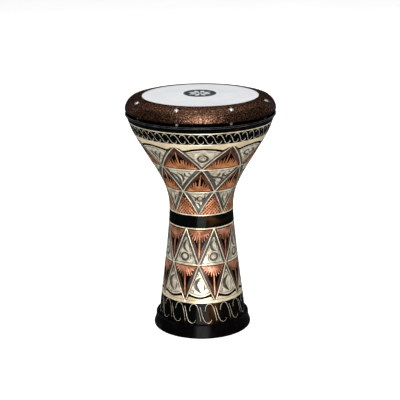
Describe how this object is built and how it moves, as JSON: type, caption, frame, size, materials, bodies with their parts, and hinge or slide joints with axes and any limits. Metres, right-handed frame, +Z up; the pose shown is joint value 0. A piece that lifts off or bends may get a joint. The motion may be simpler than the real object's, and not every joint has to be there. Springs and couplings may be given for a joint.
{
  "type": "goblet drum",
  "caption": "Goblet hand drum with a flared bowl, narrow waist and open stem, an engraved cast metal shell and a plastic head under a rounded, bolt-tensioned rim.",
  "frame": {"origin": "centre of the foot ring's underside, on the drum's axis, where the standing drum meets the floor", "axes": "+Z up the drum's axis from the foot to the head; -Y faces the front, midway between two tuning bolts"},
  "size_m": [0.2716, 0.2716, 0.4345],
  "materials": {
    "shell_casting": "cast aluminium, black lacquer cut through to bare metal and copper",
    "foot_ring_plastic": "satin black moulding",
    "ring_hammertone": "antique copper hammertone lacquer",
    "head_film": "smooth milky white film",
    "hoop_aluminium": "mill",
    "bolt_steel": "bright zinc plate",
    "washer_steel": "bright zinc plate"
  },
  "bodies": {
    "shell": {"shell": "shell_casting", "foot_ring": "foot_ring_plastic"},
    "head": {"tension_ring": "ring_hammertone", "drumhead_film": "head_film", "drumhead_hoop": "hoop_aluminium", "washer_1": "washer_steel", "washer_2": "washer_steel", "washer_3": "washer_steel", "washer_4": "washer_steel", "washer_5": "washer_steel", "washer_6": "washer_steel", "washer_7": "washer_steel", "washer_8": "washer_steel"},
    "bolt_1": {"tuning_bolt_1": "bolt_steel"},
    "bolt_2": {"tuning_bolt_2": "bolt_steel"},
    "bolt_3": {"tuning_bolt_3": "bolt_steel"},
    "bolt_4": {"tuning_bolt_4": "bolt_steel"},
    "bolt_5": {"tuning_bolt_5": "bolt_steel"},
    "bolt_6": {"tuning_bolt_6": "bolt_steel"},
    "bolt_7": {"tuning_bolt_7": "bolt_steel"},
    "bolt_8": {"tuning_bolt_8": "bolt_steel"}
  },
  "joints": [
    {"name": "head_lift", "type": "slide", "parent": "shell", "child": "head", "axis": [0, 0, 1], "range_m": [0, 0.014]},
    {"name": "bolt_1_turn", "type": "hinge", "parent": "head", "child": "bolt_1", "pos_m": [0.04646, -0.11216, 0.4246], "axis": [0, 0, 1], "range_deg": [0, 5041]},
    {"name": "bolt_2_turn", "type": "hinge", "parent": "head", "child": "bolt_2", "pos_m": [0.11216, -0.04646, 0.4246], "axis": [0, 0, 1], "range_deg": [0, 5041]},
    {"name": "bolt_3_turn", "type": "hinge", "parent": "head", "child": "bolt_3", "pos_m": [0.11216, 0.04646, 0.4246], "axis": [0, 0, 1], "range_deg": [0, 5041]},
    {"name": "bolt_4_turn", "type": "hinge", "parent": "head", "child": "bolt_4", "pos_m": [0.04646, 0.11216, 0.4246], "axis": [0, 0, 1], "range_deg": [0, 5041]},
    {"name": "bolt_5_turn", "type": "hinge", "parent": "head", "child": "bolt_5", "pos_m": [-0.04646, 0.11216, 0.4246], "axis": [0, 0, 1], "range_deg": [0, 5041]},
    {"name": "bolt_6_turn", "type": "hinge", "parent": "head", "child": "bolt_6", "pos_m": [-0.11216, 0.04646, 0.4246], "axis": [0, 0, 1], "range_deg": [0, 5041]},
    {"name": "bolt_7_turn", "type": "hinge", "parent": "head", "child": "bolt_7", "pos_m": [-0.11216, -0.04646, 0.4246], "axis": [0, 0, 1], "range_deg": [0, 5041]},
    {"name": "bolt_8_turn", "type": "hinge", "parent": "head", "child": "bolt_8", "pos_m": [-0.04646, -0.11216, 0.4246], "axis": [0, 0, 1], "range_deg": [0, 5041]}
  ],
  "couplings": [
    {"joint": "bolt_1_turn", "follows": "head_lift", "rad_per_m": 6283.2},
    {"joint": "bolt_2_turn", "follows": "head_lift", "rad_per_m": 6283.2},
    {"joint": "bolt_3_turn", "follows": "head_lift", "rad_per_m": 6283.2},
    {"joint": "bolt_4_turn", "follows": "head_lift", "rad_per_m": 6283.2},
    {"joint": "bolt_5_turn", "follows": "head_lift", "rad_per_m": 6283.2},
    {"joint": "bolt_6_turn", "follows": "head_lift", "rad_per_m": 6283.2},
    {"joint": "bolt_7_turn", "follows": "head_lift", "rad_per_m": 6283.2},
    {"joint": "bolt_8_turn", "follows": "head_lift", "rad_per_m": 6283.2}
  ]
}
